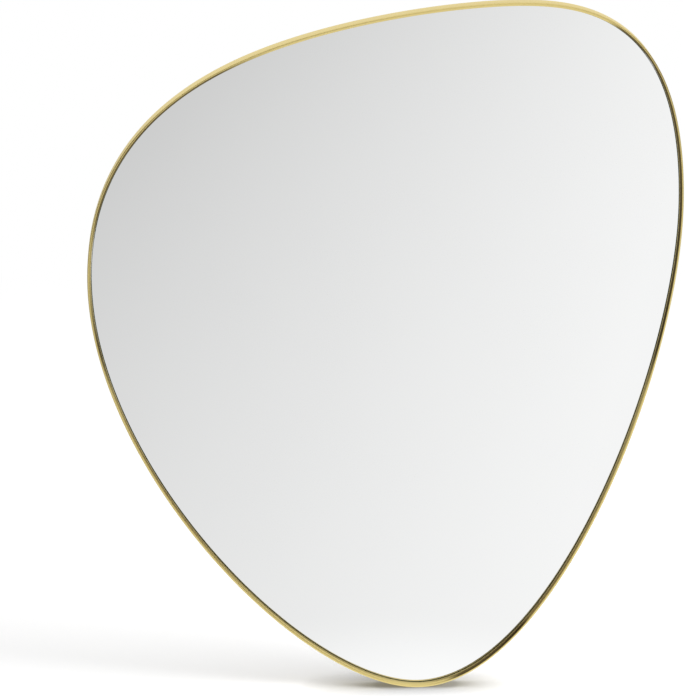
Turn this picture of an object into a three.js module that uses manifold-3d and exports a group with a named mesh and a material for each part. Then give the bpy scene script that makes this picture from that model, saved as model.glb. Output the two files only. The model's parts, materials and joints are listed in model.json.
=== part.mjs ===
// Wall mirror of irregular outline: a flat metal bar bent on edge into one closed loop, with the glass
// bonded to a backing board inside it. Millimetres.
// It is drawn face-on, x to the right, y up and z from the wall (z = 0) towards the room, about the
// centre of its outline. The last lines stand it up, with +Z up and the glass facing -Y, and move
// the origin to the wall plane, midway between the two hanging rings.

import * as THREE from 'three';
import { mergeVertices } from 'three/addons/utils/BufferGeometryUtils.js';
import Module from 'manifold-3d';

const wasm = await Module();
wasm.setup();

// ---- outline: five points, each with how far the curve leans on its tangent either side ----
const mirrorWidth = 666;
const mirrorHeight = 800;
const topPointX = 148;              // where the outline is highest
const rightPointY = 169;            // where it reaches furthest right
const bottomPointX = 39;            // where it is lowest
const leftPointY = 88;              // where it reaches furthest left
const shoulderLeft = 308;           // upper left shoulder, left of the highest point
const shoulderDrop = 62;            // and below it
const shoulderSlope = 24;           // degrees
const topReach = { left: 73, right: 86 };
const rightReach = { up: 206, down: 191 };
const bottomReach = { right: 159, left: 134 };
const leftReach = { down: 220, up: 131 };
const shoulderReach = { down: 106, up: 107 };
const outlineSteps = 192;

// ---- frame bar ----
const barFace = 4;                  // width seen from the front
const barDepth = 20;
const barEdgeRadius = 0.6;
const edgeSteps = 2;

// ---- what the frame holds, from the glass back to the board ----
const glassThickness = 4;
const filmThickness = 0.25;
const tapeThickness = 0.75;
const boardThickness = 5;
const edgeClearance = 0.8;          // bar to glass, all round
const boardClearance = 1.2;         // bar to board, all round
const filmInset = 3;                // glass edge to film edge
const tapeWidth = 20;
const tapeCount = 6;
const tapeMargin = 35;              // tape end to board edge
const tapeTopMargin = 60;           // first and last strip to the board's ends

// ---- tabs welded inside the bar, one screw each ----
const tabCount = 8;
const tabWidth = 22;
const tabLength = 24;
const tabThickness = 2;
const tabHoleInset = 14;            // bar's inner wall to the screw
const tabHoleRadius = 2.2;
const weldGap = 0.3;
const tabFirstAt = 0.0625;          // share of the way round, clockwise from the highest point

// ---- screws ----
const tabScrew = { headRadius: 3.8, headHeight: 2, shankRadius: 1.75, point: 1.2 };
const hangerScrew = { headRadius: 3.2, headHeight: 1.8, shankRadius: 1.6, point: 1.2 };
const screwCover = 1;               // board left between a screw's tip and the tape
const pilotClearance = 0.15;
const roundSteps = 14;

// ---- hangers: a folded steel strap and a closed D-shaped ring ----
const hangerSpacing = 340;
const hangLineX = 12.5;              // plumb above the mirror's centre of mass
const hangLineY = 190;              // the rings' pivots above the middle of the outline
const strapWidth = 14;
const strapLength = 44;             // pivot to the rounded end
const strapThickness = 1.2;
const strapScrewAt = [13, 34];      // below the pivot
const strapHoleRadius = 1.9;
const strapFoldEnd = 8.5;           // how far the folded leg comes back down
const strapFoldSlope = 40;          // degrees
const strapFoldGap = 0.1;
const ringWireRadius = 1.5;
const ringArm = 9.5;                // straight side of the D
const ringCornerRadius = 2;
const ringSideClearance = 1;        // ring to the strap's edge
const pivotClearance = 0.3;
const ringSides = 12;

// ---- rubber bumpers that hold the mirror off the wall ----
const bumperHeight = 8;
const bumperBaseRadius = 8;
const bumperFaceRadius = 6;
const bumperInset = 46;             // outline to the bumper's middle
const bumperAt = [
  ['upper_right', 0.07],
  ['lower_right', 0.36],
  ['lower_left', 0.5],
  ['upper_left', 0.8],
];

// ---- levels above the wall, worked out from the sizes above ----
const boardBack = bumperHeight;
const boardFront = boardBack + boardThickness;
const filmBack = boardFront + tapeThickness;
const glassBack = filmBack + filmThickness;
const glassFront = glassBack + glassThickness;
const barBack = boardBack - tabThickness;
const barFront = barBack + barDepth;
const screwTip = boardFront - screwCover;
const strapFace = boardBack - strapThickness;
const pivotLevel = strapFace - pivotClearance - ringWireRadius;

// ---------- outline ----------

// The five points clockwise from the highest, with the way the outline runs there in degrees, and
// its reach before and after the point.
function outlineAnchors() {
  const right = mirrorWidth / 2;
  const top = mirrorHeight / 2;
  return [
    { x: topPointX, y: top, way: 0, before: topReach.left, after: topReach.right },
    { x: right, y: rightPointY, way: -90, before: rightReach.up, after: rightReach.down },
    { x: bottomPointX, y: -top, way: 180, before: bottomReach.right, after: bottomReach.left },
    { x: -right, y: leftPointY, way: 90, before: leftReach.down, after: leftReach.up },
    {
      x: topPointX - shoulderLeft,
      y: top - shoulderDrop,
      way: shoulderSlope,
      before: shoulderReach.down,
      after: shoulderReach.up,
    },
  ];
}

function drawOutline() {
  const anchors = outlineAnchors().map(({ x, y, way, before, after }) => {
    const point = new THREE.Vector2(x, y);
    const angle = THREE.MathUtils.degToRad(way);
    const tangent = new THREE.Vector2(Math.cos(angle), Math.sin(angle));
    return {
      point,
      handleIn: point.clone().addScaledVector(tangent, -before),
      handleOut: point.clone().addScaledVector(tangent, after),
    };
  });
  const shape = new THREE.Shape();
  shape.moveTo(...anchors[0].point);
  anchors.forEach(({ handleOut }, i) => {
    const next = anchors[(i + 1) % anchors.length];
    shape.bezierCurveTo(...handleOut, ...next.handleIn, ...next.point);
  });
  return shape;
}

const outline = drawOutline();
outline.arcLengthDivisions = 4000;

// A point on the outline, a share of the way round, with the direction out of the mirror there.
function outlineAt(share) {
  const point = outline.getPointAt(share % 1);
  const tangent = outline.getTangentAt(share % 1);
  return { point, outward: new THREE.Vector2(-tangent.y, tangent.x) };
}

const outlineStations = Array.from({ length: outlineSteps }, (_, i) => outlineAt(i / outlineSteps));

// The outline drawn smaller by the same distance all round.
function insetOutline(distance) {
  return outlineStations.map(({ point, outward }) => point.clone().addScaledVector(outward, -distance));
}

// ---------- solids ----------

function toSolid(geometry) {
  const bare = geometry.clone();
  bare.deleteAttribute('normal');
  bare.deleteAttribute('uv');
  const welded = mergeVertices(bare, 1e-4);
  return new wasm.Manifold(new wasm.Mesh({
    numProp: 3,
    vertProperties: welded.attributes.position.array,
    triVerts: Uint32Array.from(welded.index.array),
  }));
}

function toGeometry(solid) {
  const { vertProperties, triVerts } = solid.getMesh();
  const geometry = new THREE.BufferGeometry();
  geometry.setAttribute('position', new THREE.BufferAttribute(vertProperties, 3));
  geometry.setIndex(new THREE.BufferAttribute(triVerts, 1));
  return geometry;
}

// A flat plate between two levels above the wall.
function plate(points, back, front) {
  const geometry = new THREE.ExtrudeGeometry(new THREE.Shape(points), {
    depth: front - back,
    bevelEnabled: false,
  });
  return geometry.translate(0, 0, back);
}

// A round post along z between two levels.
function post(radius, x, y, back, front) {
  const geometry = new THREE.CylinderGeometry(radius, radius, front - back, roundSteps);
  return geometry.rotateX(Math.PI / 2).translate(x, y, (back + front) / 2);
}

// A closed loop swept by a section. The loop's stations run clockwise, each with a point and an
// outward direction; the section's points are [outward, forward] and run counter-clockwise.
function sweepLoop(stations, section) {
  const positions = [];
  for (const { point, outward } of stations) {
    for (const [out, forward] of section) {
      positions.push(point.x + outward.x * out, point.y + outward.y * out, forward);
    }
  }
  const sides = section.length;
  const index = [];
  for (let i = 0; i < stations.length; i++) {
    const next = (i + 1) % stations.length;
    for (let j = 0; j < sides; j++) {
      const k = (j + 1) % sides;
      index.push(i * sides + j, next * sides + k, next * sides + j);
      index.push(i * sides + j, i * sides + k, next * sides + k);
    }
  }
  const geometry = new THREE.BufferGeometry();
  geometry.setAttribute('position', new THREE.Float32BufferAttribute(positions, 3));
  geometry.setIndex(index);
  return geometry;
}

// Points of a quarter round, from one angle to the next, in degrees.
function arcPoints(x, y, radius, fromDegrees, toDegrees, steps) {
  return Array.from({ length: steps + 1 }, (_, i) => {
    const angle = THREE.MathUtils.degToRad(fromDegrees + (toDegrees - fromDegrees) * i / steps);
    return [x + radius * Math.cos(angle), y + radius * Math.sin(angle)];
  });
}

// ---------- frame ----------

// The bar's section: a rectangle behind the outline with its four long edges broken.
function barSection() {
  const r = barEdgeRadius;
  return [
    ...arcPoints(-r, barFront - r, r, 0, 90, edgeSteps),
    ...arcPoints(-barFace + r, barFront - r, r, 90, 180, edgeSteps),
    ...arcPoints(-barFace + r, barBack + r, r, 180, 270, edgeSteps),
    ...arcPoints(-r, barBack + r, r, 270, 360, edgeSteps),
  ];
}

function frameBar() {
  return sweepLoop(outlineStations, barSection());
}

// ---------- glass, film, tape and board ----------

const boardOutline = insetOutline(barFace + boardClearance);

// Where a level line crosses the board, left and right.
function boardSpanAt(y) {
  const crossings = [];
  boardOutline.forEach((a, i) => {
    const b = boardOutline[(i + 1) % boardOutline.length];
    if ((a.y - y) * (b.y - y) <= 0 && a.y !== b.y) {
      crossings.push(a.x + (b.x - a.x) * (y - a.y) / (b.y - a.y));
    }
  });
  return [Math.min(...crossings), Math.max(...crossings)];
}

function tapeStrip(number) {
  const ends = mirrorHeight / 2 - barFace - boardClearance - tapeTopMargin;
  const y = ends - number * 2 * ends / (tapeCount - 1);
  const spans = [boardSpanAt(y - tapeWidth / 2), boardSpanAt(y + tapeWidth / 2)];
  const left = Math.max(spans[0][0], spans[1][0]) + tapeMargin;
  const right = Math.min(spans[0][1], spans[1][1]) - tapeMargin;
  const geometry = new THREE.BoxGeometry(right - left, tapeWidth, tapeThickness);
  return geometry.translate((left + right) / 2, y, boardFront + tapeThickness / 2);
}

// ---------- tabs and screws ----------

const tabs = Array.from({ length: tabCount }, (_, i) => {
  const { point, outward } = outlineAt(tabFirstAt + i / tabCount);
  const screw = point.clone().addScaledVector(outward, -(barFace + tabHoleInset));
  return { point, outward, screw };
});

const hangers = [
  { side: 'left', x: hangLineX - hangerSpacing / 2 },
  { side: 'right', x: hangLineX + hangerSpacing / 2 },
];

function pilotHoles() {
  const tabPilots = tabs.map(({ screw }) => ({ x: screw.x, y: screw.y, radius: tabScrew.shankRadius }));
  const hangerPilots = hangers.flatMap(({ x }) =>
    strapScrewAt.map((drop) => ({ x, y: hangLineY - drop, radius: hangerScrew.shankRadius })));
  return [...tabPilots, ...hangerPilots];
}

// The holes stop short of the board's front, so no screw can reach the glass.
function board() {
  let solid = toSolid(plate(boardOutline, boardBack, boardFront));
  for (const { x, y, radius } of pilotHoles()) {
    const drill = post(radius + pilotClearance, x, y, boardBack - 1, screwTip + pilotClearance);
    solid = solid.subtract(toSolid(drill));
  }
  return toGeometry(solid);
}

// A tab is a rounded plate cut to the curve of the bar's inner wall, where it is welded.
function tab({ point, outward, screw }) {
  const half = tabWidth / 2;
  const shape = new THREE.Shape();
  shape.moveTo(-half, tabLength);
  shape.lineTo(-half, half);
  shape.absarc(0, half, half, Math.PI, 2 * Math.PI, false);
  shape.lineTo(half, tabLength);
  shape.closePath();
  const blank = new THREE.ExtrudeGeometry(shape, { depth: tabThickness, bevelEnabled: false, curveSegments: 8 });
  const root = point.clone().addScaledVector(outward, -(barFace + tabLength - tabWidth / 4));
  blank.rotateZ(Math.atan2(outward.y, outward.x) - Math.PI / 2);
  blank.translate(root.x, root.y, barBack);
  const wall = plate(insetOutline(barFace + weldGap), barBack - 1, boardBack + 1);
  const hole = post(tabHoleRadius, screw.x, screw.y, barBack - 1, boardBack + 1);
  return toGeometry(toSolid(blank).intersect(toSolid(wall)).subtract(toSolid(hole)));
}

// A pan-head screw, drawn head up along y, then turned so that the head faces the wall.
// The underside of its head is at z = 0 and its shank runs forward.
function panScrew({ headRadius, headHeight, shankRadius, point }, length) {
  const profile = [
    [0, -length],
    [shankRadius, -length + point],
    [shankRadius, 0],
    [headRadius, 0],
    [headRadius, headHeight * 0.45],
    [headRadius * 0.86, headHeight * 0.8],
    [headRadius * 0.5, headHeight],
    [0, headHeight],
  ];
  const points = profile.map(([r, y]) => new THREE.Vector2(r, y));
  return new THREE.LatheGeometry(points, roundSteps).rotateX(-Math.PI / 2);
}

// ---------- hangers ----------

// The strap's side view as a bent strip: up the board, round the ring's bar and back down on itself.
// Points are [height from the pivot, distance from the board].
function strapCentreLine() {
  const half = strapThickness / 2;
  const centre = strapThickness + pivotClearance + ringWireRadius;
  const radius = centre - half;
  const slope = THREE.MathUtils.degToRad(strapFoldSlope);
  const arc = arcPoints(0, centre, radius, -90, 90 + strapFoldSlope, 14);
  const [lastX, lastY] = arc[arc.length - 1];
  const landing = strapThickness + strapFoldGap + half;
  const run = (lastY - landing) / Math.tan(slope);
  return [[-strapLength, half], ...arc, [lastX - run, landing], [-strapFoldEnd, landing]];
}

// A strip of even thickness along a line of points, with mitred bends.
function stripShape(line, thickness) {
  const points = line.map(([x, y]) => new THREE.Vector2(x, y));
  const side = (sign) => points.map((p, i) => {
    const before = points[Math.max(i - 1, 0)];
    const after = points[Math.min(i + 1, points.length - 1)];
    const into = (i === 0 ? after.clone().sub(p) : p.clone().sub(before)).normalize();
    const out = (i === points.length - 1 ? p.clone().sub(before) : after.clone().sub(p)).normalize();
    const mitre = into.clone().add(out).normalize();
    const reach = sign * thickness / 2 / mitre.dot(into);
    return new THREE.Vector2(p.x - mitre.y * reach, p.y + mitre.x * reach);
  });
  return new THREE.Shape([...side(1), ...side(-1).reverse()]);
}

function hangerStrap(x) {
  const strip = new THREE.ExtrudeGeometry(stripShape(strapCentreLine(), strapThickness), {
    depth: strapWidth,
    bevelEnabled: false,
  });
  // side view [height, distance from the board] and width become y, -z and x
  strip.applyMatrix4(new THREE.Matrix4().makeBasis(
    new THREE.Vector3(0, 1, 0),
    new THREE.Vector3(0, 0, -1),
    new THREE.Vector3(-1, 0, 0),
  ));
  strip.translate(strapWidth / 2, 0, 0);
  const half = strapWidth / 2;
  const reach = 2 * strapLength;
  const plan = new THREE.Shape();
  plan.moveTo(-half, reach);
  plan.lineTo(-half, -strapLength + half);
  plan.absarc(0, -strapLength + half, half, Math.PI, 2 * Math.PI, false);
  plan.lineTo(half, reach);
  plan.closePath();
  const cutter = new THREE.ExtrudeGeometry(plan, { depth: 2 * bumperHeight, bevelEnabled: false, curveSegments: 8 });
  cutter.translate(0, 0, -2 * bumperHeight + 1);
  let solid = toSolid(strip).intersect(toSolid(cutter));
  for (const drop of strapScrewAt) {
    solid = solid.subtract(toSolid(post(strapHoleRadius, 0, -drop, -2 * bumperHeight, 1)));
  }
  return toGeometry(solid).translate(x, hangLineY, boardBack);
}

// The ring's centre line, clockwise from the left end of its bar, hanging down from the pivot.
function ringStations() {
  const half = strapWidth / 2 + ringSideClearance + ringWireRadius;
  const r = ringCornerRadius;
  const stations = [];
  const addArc = (x, y, radius, from, to, steps) => {
    for (let i = 0; i <= steps; i++) {
      const angle = THREE.MathUtils.degToRad(from + (to - from) * i / steps);
      const outward = new THREE.Vector2(Math.cos(angle), Math.sin(angle));
      stations.push({ point: new THREE.Vector2(x, y).addScaledVector(outward, radius), outward });
    }
  };
  addArc(-half + r, -r, r, 180, 90, 4);
  addArc(half - r, -r, r, 90, 0, 4);
  addArc(0, -ringArm, half, 0, -180, 16);
  return stations;
}

function hangingRing(x) {
  const section = Array.from({ length: ringSides }, (_, i) => {
    const angle = 2 * Math.PI * i / ringSides;
    return [ringWireRadius * Math.cos(angle), ringWireRadius * Math.sin(angle)];
  });
  return sweepLoop(ringStations(), section).translate(x, hangLineY, pivotLevel);
}

// ---------- bumpers ----------

function bumper(share) {
  const { point, outward } = outlineAt(share);
  const middle = point.clone().addScaledVector(outward, -bumperInset);
  const profile = [
    [0, 0],
    [bumperBaseRadius, 0],
    [bumperBaseRadius, bumperHeight * 0.2],
    [bumperFaceRadius, bumperHeight],
    [0, bumperHeight],
  ];
  const points = profile.map(([r, y]) => new THREE.Vector2(r, y));
  const geometry = new THREE.LatheGeometry(points, 24).rotateX(-Math.PI / 2);
  return geometry.translate(middle.x, middle.y, boardBack);
}

// ---------- finishes ----------

const finishes = {
  brushedBrass: { color: 0xc9a75c, metalness: 1, roughness: 0.32 },
  mirror: { color: 0xe6eae9, metalness: 1, roughness: 0.02 },
  film: { color: 0x9aa3a8, metalness: 0, roughness: 0.5 },
  foam: { color: 0xdedcd6, metalness: 0, roughness: 0.9 },
  blackBoard: { color: 0x2a2826, metalness: 0, roughness: 0.8 },
  zincSteel: { color: 0xa9acae, metalness: 1, roughness: 0.38 },
  rubber: { color: 0x1d1d1e, metalness: 0, roughness: 0.85 },
};

const mirror = new THREE.Group();

function add(name, geometry, finish) {
  const mesh = new THREE.Mesh(geometry, new THREE.MeshStandardMaterial(finishes[finish]));
  mesh.name = name;
  mirror.add(mesh);
  return mesh;
}

// ---------- assembly ----------

add('frame', frameBar(), 'brushedBrass');
add('mirror_glass', plate(insetOutline(barFace + edgeClearance), glassBack, glassFront), 'mirror');
add('safety_film', plate(insetOutline(barFace + edgeClearance + filmInset), filmBack, glassBack), 'film');
for (let i = 0; i < tapeCount; i++) {
  add(`foam_tape_${i + 1}`, tapeStrip(i), 'foam');
}
add('back_board', board(), 'blackBoard');

tabs.forEach((place, i) => {
  add(`board_tab_${i + 1}`, tab(place), 'brushedBrass');
  const screw = add(`tab_screw_${i + 1}`, panScrew(tabScrew, screwTip - barBack), 'zincSteel');
  screw.position.set(place.screw.x, place.screw.y, barBack);
});

for (const { side, x } of hangers) {
  add(`hanger_strap_${side}`, hangerStrap(x), 'zincSteel');
  add(`d_ring_${side}`, hangingRing(x), 'zincSteel');
  strapScrewAt.forEach((drop, i) => {
    const screw = add(`hanger_screw_${side}_${i + 1}`, panScrew(hangerScrew, screwTip - strapFace), 'zincSteel');
    screw.position.set(x, hangLineY - drop, strapFace);
  });
}

for (const [place, share] of bumperAt) {
  add(`wall_bumper_${place}`, bumper(share), 'rubber');
}

mirror.rotation.x = Math.PI / 2;
mirror.position.set(-hangLineX, 0, -hangLineY);

export default mirror;
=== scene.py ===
import json
from math import cos, pi, radians, sin

import bpy
from mathutils import Matrix, Vector
from mathutils.kdtree import KDTree


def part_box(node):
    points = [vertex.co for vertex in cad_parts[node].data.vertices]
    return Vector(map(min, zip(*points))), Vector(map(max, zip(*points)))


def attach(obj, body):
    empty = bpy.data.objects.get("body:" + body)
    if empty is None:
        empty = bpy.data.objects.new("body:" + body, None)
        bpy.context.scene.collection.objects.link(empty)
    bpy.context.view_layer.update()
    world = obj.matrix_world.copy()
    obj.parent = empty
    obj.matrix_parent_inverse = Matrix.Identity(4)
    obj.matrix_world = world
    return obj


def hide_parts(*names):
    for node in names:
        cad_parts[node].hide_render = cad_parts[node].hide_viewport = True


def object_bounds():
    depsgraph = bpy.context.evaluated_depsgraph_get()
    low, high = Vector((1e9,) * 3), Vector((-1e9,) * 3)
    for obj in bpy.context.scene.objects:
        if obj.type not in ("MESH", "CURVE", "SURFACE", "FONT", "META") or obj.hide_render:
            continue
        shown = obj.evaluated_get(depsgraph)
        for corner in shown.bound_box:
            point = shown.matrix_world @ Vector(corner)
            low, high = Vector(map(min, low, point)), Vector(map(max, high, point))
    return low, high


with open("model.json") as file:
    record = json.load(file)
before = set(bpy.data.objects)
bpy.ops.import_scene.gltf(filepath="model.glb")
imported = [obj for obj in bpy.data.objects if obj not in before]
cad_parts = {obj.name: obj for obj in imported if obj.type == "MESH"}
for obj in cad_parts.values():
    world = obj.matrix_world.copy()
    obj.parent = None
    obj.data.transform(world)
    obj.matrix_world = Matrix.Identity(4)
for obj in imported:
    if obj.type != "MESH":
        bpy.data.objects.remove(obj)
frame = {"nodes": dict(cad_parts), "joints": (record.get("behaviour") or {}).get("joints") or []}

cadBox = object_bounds()
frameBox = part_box("frame")
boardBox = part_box("back_board")
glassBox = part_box("mirror_glass")
middle = (frameBox[0] + frameBox[1]) / 2
floorLevel = cadBox[0].z
boardBack = boardBox[1].y  # the board's rear face, towards the wall

# camera: a long lens, 16 degrees above the mirror and a little to its left
shot = {
    "place": (-0.2472, -4.1248, 0.9933),
    "lookDown": 16.007,  # degrees
    "lookRight": 2.604,
    "focalPixels": 3800,
    "imageSize": (685, 700),
    "sensor": 36,
    "farEnd": 60,
}


def placeCamera():
    bpy.ops.object.camera_add(location=shot["place"])
    camera = bpy.context.object
    camera.name = "shotCamera"
    camera.rotation_euler = (radians(90 - shot["lookDown"]), 0, -radians(shot["lookRight"]))
    camera.data.sensor_width = shot["sensor"]
    camera.data.lens = shot["focalPixels"] * shot["sensor"] / max(shot["imageSize"])
    camera.data.clip_end = shot["farEnd"]
    bpy.context.scene.camera = camera
    print("camera placed, lens", round(camera.data.lens, 1))


bpy.ops.object.select_all(action="DESELECT")
placeCamera()


# small tools of the trade

mergeWithin = 0.00001  # metres
nearlySquare = 0.9  # cosine: a face that looks almost straight along an axis


def pickOnly(thing):
    bpy.ops.object.select_all(action="DESELECT")
    thing.select_set(True)
    bpy.context.view_layer.objects.active = thing


def editAll(thing):
    pickOnly(thing)
    bpy.ops.object.mode_set(mode="EDIT")
    bpy.ops.mesh.select_mode(type="VERT")
    bpy.ops.mesh.select_all(action="SELECT")


def leaveEdit():
    bpy.ops.object.mode_set(mode="OBJECT")


def selectWhere(thing, test, kind="vertices"):
    leaveEdit()
    pickOnly(thing)
    families = ("vertices", "edges", "polygons")
    for family in families:
        for part in getattr(thing.data, family):
            part.select = family == kind and test(part)
    bpy.context.tool_settings.mesh_select_mode = [family == kind for family in families]
    bpy.ops.object.mode_set(mode="EDIT")


def extrudeBy(x, y, z):
    bpy.ops.mesh.extrude_region_move(TRANSFORM_OT_translate={"value": (x, y, z)})


def addModifier(thing, kind, **settings):
    pickOnly(thing)
    modifier = thing.modifiers.new(kind.lower(), kind)
    for key, value in settings.items():
        setattr(modifier, key, value)
    bpy.ops.object.modifier_apply(modifier=modifier.name)


# edges sharper than an angle in degrees are rounded
def softenEdges(thing, width, segments, angle):
    addModifier(
        thing, "BEVEL", width=width, segments=segments, limit_method="ANGLE",
        angle_limit=radians(angle), miter_outer="MITER_ARC",
    )


def outwardNormals(thing):
    editAll(thing)
    bpy.ops.mesh.remove_doubles(threshold=mergeWithin)
    bpy.ops.mesh.normals_make_consistent(inside=False)
    leaveEdit()


# smooth shading in which each flat face keeps its own normal
def smoothed(thing, angle):
    pickOnly(thing)
    bpy.ops.object.shade_smooth_by_angle(angle=radians(angle))
    addModifier(thing, "WEIGHTED_NORMAL", mode="FACE_AREA", weight=100, keep_sharp=True)


# a piece's last step: its "edge" is width, steps and angle, and its "smooth" an angle
def finishEdges(thing, shape):
    softenEdges(thing, *shape["edge"])
    smoothed(thing, shape["smooth"])


def settle(thing):
    pickOnly(thing)
    bpy.ops.object.transform_apply(location=True, rotation=True, scale=True)


def addCylinder(sides, radius, depth, turn, place=(0, 0, 0)):
    bpy.ops.mesh.primitive_cylinder_add(
        vertices=sides, radius=radius, depth=depth, location=place, rotation=turn,
    )
    thing = bpy.context.object
    settle(thing)
    return thing


# an upright sheet that hangs down from a level
def addSheet(width, length, depth, top):
    bpy.ops.mesh.primitive_plane_add(size=1, rotation=(pi / 2, 0, 0))
    thing = bpy.context.object
    thing.location = (0, depth, top - length / 2)
    thing.scale = (width, length, 1)
    settle(thing)
    return thing


def roundEnd(thing, shape, level):
    selectWhere(thing, lambda vertex: vertex.co.z < level)
    bpy.ops.mesh.bevel(
        offset=shape["width"] / 2 - shape["endFlat"], segments=shape["endSteps"],
        affect="VERTICES",
    )


def cutAway(thing, cutter):
    addModifier(thing, "BOOLEAN", operation="DIFFERENCE", solver="EXACT", object=cutter)
    bpy.data.objects.remove(cutter)


def drillHole(thing, shape, place):
    size = (shape["holeSides"], shape["holeRadius"], shape["drillDepth"])
    cutAway(thing, addCylinder(*size, (pi / 2, 0, 0), place))


def handOver(thing, name, body, slot, material, *nodes):
    thing.name = name
    thing.data.name = name
    thing.data.materials.clear()
    thing.data.materials.append(material)
    if nodes:
        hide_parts(*nodes)
    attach(thing, body)


def copyOf(thing, matrix):
    twin = thing.copy()
    twin.data = thing.data.copy()
    twin.data.transform(matrix)
    bpy.context.scene.collection.objects.link(twin)
    return twin


# a closed curve through stops: place, direction, and its lean on that before and after
def bezierLoop(stops, steps):
    bpy.ops.curve.primitive_bezier_circle_add(location=(0, 0, 0))
    curve = bpy.context.object
    curve.data.dimensions = "3D"
    curve.data.resolution_u = steps
    spline = curve.data.splines[0]
    spline.bezier_points.add(len(stops) - len(spline.bezier_points))
    for point, (place, way, before, after) in zip(spline.bezier_points, stops):
        point.handle_left_type = "FREE"
        point.handle_right_type = "FREE"
        point.co = place
        point.handle_left = place - way * before
        point.handle_right = place + way * after
    return curve


def toMesh(curve):
    pickOnly(curve)
    bpy.ops.object.convert(target="MESH")
    return bpy.context.object


# the mirror's outline, metres about the middle of the frame, seen from the front
outline = {
    "topX": 0.148,
    "rightZ": 0.169,
    "bottomX": 0.039,
    "leftZ": 0.088,
    "shoulder": (-0.160, 0.338),
    "shoulderSlope": 24,  # degrees
    "topReach": (0.073, 0.086),  # how far the curve leans on its tangent, before and after
    "rightReach": (0.206, 0.191),
    "bottomReach": (0.159, 0.134),
    "leftReach": (0.220, 0.131),
    "shoulderReach": (0.106, 0.107),
    "steps": 110,
}


def outlineAnchors():
    right = (frameBox[1].x - frameBox[0].x) / 2
    top = (frameBox[1].z - frameBox[0].z) / 2
    return [
        (outline["topX"], top, 0, outline["topReach"]),
        (right, outline["rightZ"], -90, outline["rightReach"]),
        (outline["bottomX"], -top, 180, outline["bottomReach"]),
        (-right, outline["leftZ"], 90, outline["leftReach"]),
        (*outline["shoulder"], outline["shoulderSlope"], outline["shoulderReach"]),
    ]


def drawOutline():
    stops = []
    for x, z, way, (before, after) in outlineAnchors():
        place = Vector((middle.x + x, 0, middle.z + z))
        tangent = Vector((cos(radians(way)), 0, sin(radians(way))))
        stops.append((place, tangent, before, after))
    return toMesh(bezierLoop(stops, outline["steps"]))


def outlineStations():
    loop = drawOutline()
    points = [v.co.copy() for v in loop.data.vertices]
    bpy.data.objects.remove(loop)
    lengths = [0.0]
    for here, there in zip(points, points[1:] + points[:1]):
        lengths.append(lengths[-1] + (there - here).length)
    return points, lengths


outlinePoints, outlineLengths = outlineStations()
outlineTree = KDTree(len(outlinePoints))
for number, point in enumerate(outlinePoints):
    outlineTree.insert(point, number)
outlineTree.balance()


# nearest place on the outline: distance run, and the direction along and out of it
def besideOutline(place):
    flat = Vector((place[0], 0, place[2]))
    near, number, _ = outlineTree.find(flat)
    after = outlinePoints[(number + 1) % len(outlinePoints)]
    before = outlinePoints[number - 1]
    along = (after - before).normalized()
    outward = Vector((-along.z, 0, along.x))
    run = outlineLengths[number] + (flat - near).dot(along)
    return run, near, along, outward


print("outline", len(outlinePoints), "points,", round(outlineLengths[-1], 3), "m round")


# shader tools

# links the sockets among the values and sets the rest on the node itself
def plug(tree, node, values):
    for key, value in values.items():
        if isinstance(value, bpy.types.NodeSocket):
            tree.links.new(value, node.inputs[key])
        else:
            node.inputs[key].default_value = value


def addNode(tree, kind, inputs=None, **settings):
    node = tree.nodes.new("ShaderNode" + kind)
    for key, value in settings.items():
        setattr(node, key, value)
    plug(tree, node, inputs or {})
    return node


def newMaterial(name):
    material = bpy.data.materials.new(name)
    material.use_nodes = True
    tree = material.node_tree
    place = addNode(tree, "TexCoord").outputs["Object"]
    return material, tree, tree.nodes["Principled BSDF"], place


def newGroup(name, inputs, outputs):
    group = bpy.data.node_groups.new(name, "ShaderNodeTree")
    for label, kind, value in inputs:
        socket = group.interface.new_socket(
            name=label, in_out="INPUT", socket_type="NodeSocket" + kind,
        )
        if value is not None:
            socket.default_value = value
    for label in outputs:
        group.interface.new_socket(
            name=label, in_out="OUTPUT", socket_type="NodeSocketFloat",
        )
    return group, group.nodes.new("NodeGroupInput"), group.nodes.new("NodeGroupOutput")


def useGroup(tree, group, **values):
    return addNode(tree, "Group", values, node_tree=group)


def ramp(tree, factor, stops):
    node = addNode(tree, "ValToRGB", {"Fac": factor})
    elements = node.color_ramp.elements
    while len(elements) < len(stops):
        elements.new(0.5)
    for element, (position, colour) in zip(elements, stops):
        element.position = position
        element.color = (*colour, 1)
    return node.outputs["Color"]


def blend(tree, factor, first, second):
    first, second = (
        (*colour, 1) if isinstance(colour, tuple) else colour for colour in (first, second)
    )
    colours = {0: factor, 6: first, 7: second}  # the colour sockets of a Mix node
    return addNode(tree, "Mix", colours, data_type="RGBA").outputs[2]


def reckon(tree, operation, first, second):
    return addNode(tree, "Math", {0: first, 1: second}, operation=operation).outputs[0]


def halfway(tree, first, second):
    return reckon(tree, "MULTIPLY", reckon(tree, "ADD", first, second), 0.5)


def spread(tree, value, fromRange, toRange=(0.0, 1.0), kind="LINEAR"):
    node = addNode(tree, "MapRange", {
        "Value": value,
        "From Min": fromRange[0], "From Max": fromRange[1],
        "To Min": toRange[0], "To Max": toRange[1],
    }, interpolation_type=kind)
    return node.outputs[0]


def ease(tree, value, fromRange, toRange=(0.0, 1.0)):
    return spread(tree, value, fromRange, toRange, "SMOOTHSTEP")


def stretched(tree, vector, factors):
    return addNode(tree, "VectorMath", {0: vector, 1: factors}, operation="MULTIPLY").outputs[0]


def noise(tree, place, scale, detail, **more):
    inputs = {"Vector": place, "Scale": scale, "Detail": detail, **more}
    return addNode(tree, "TexNoise", inputs).outputs["Fac"]


def relief(tree, height, strength, distance):
    inputs = {"Strength": strength, "Distance": distance, "Height": height}
    return addNode(tree, "Bump", inputs).outputs[0]


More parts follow.
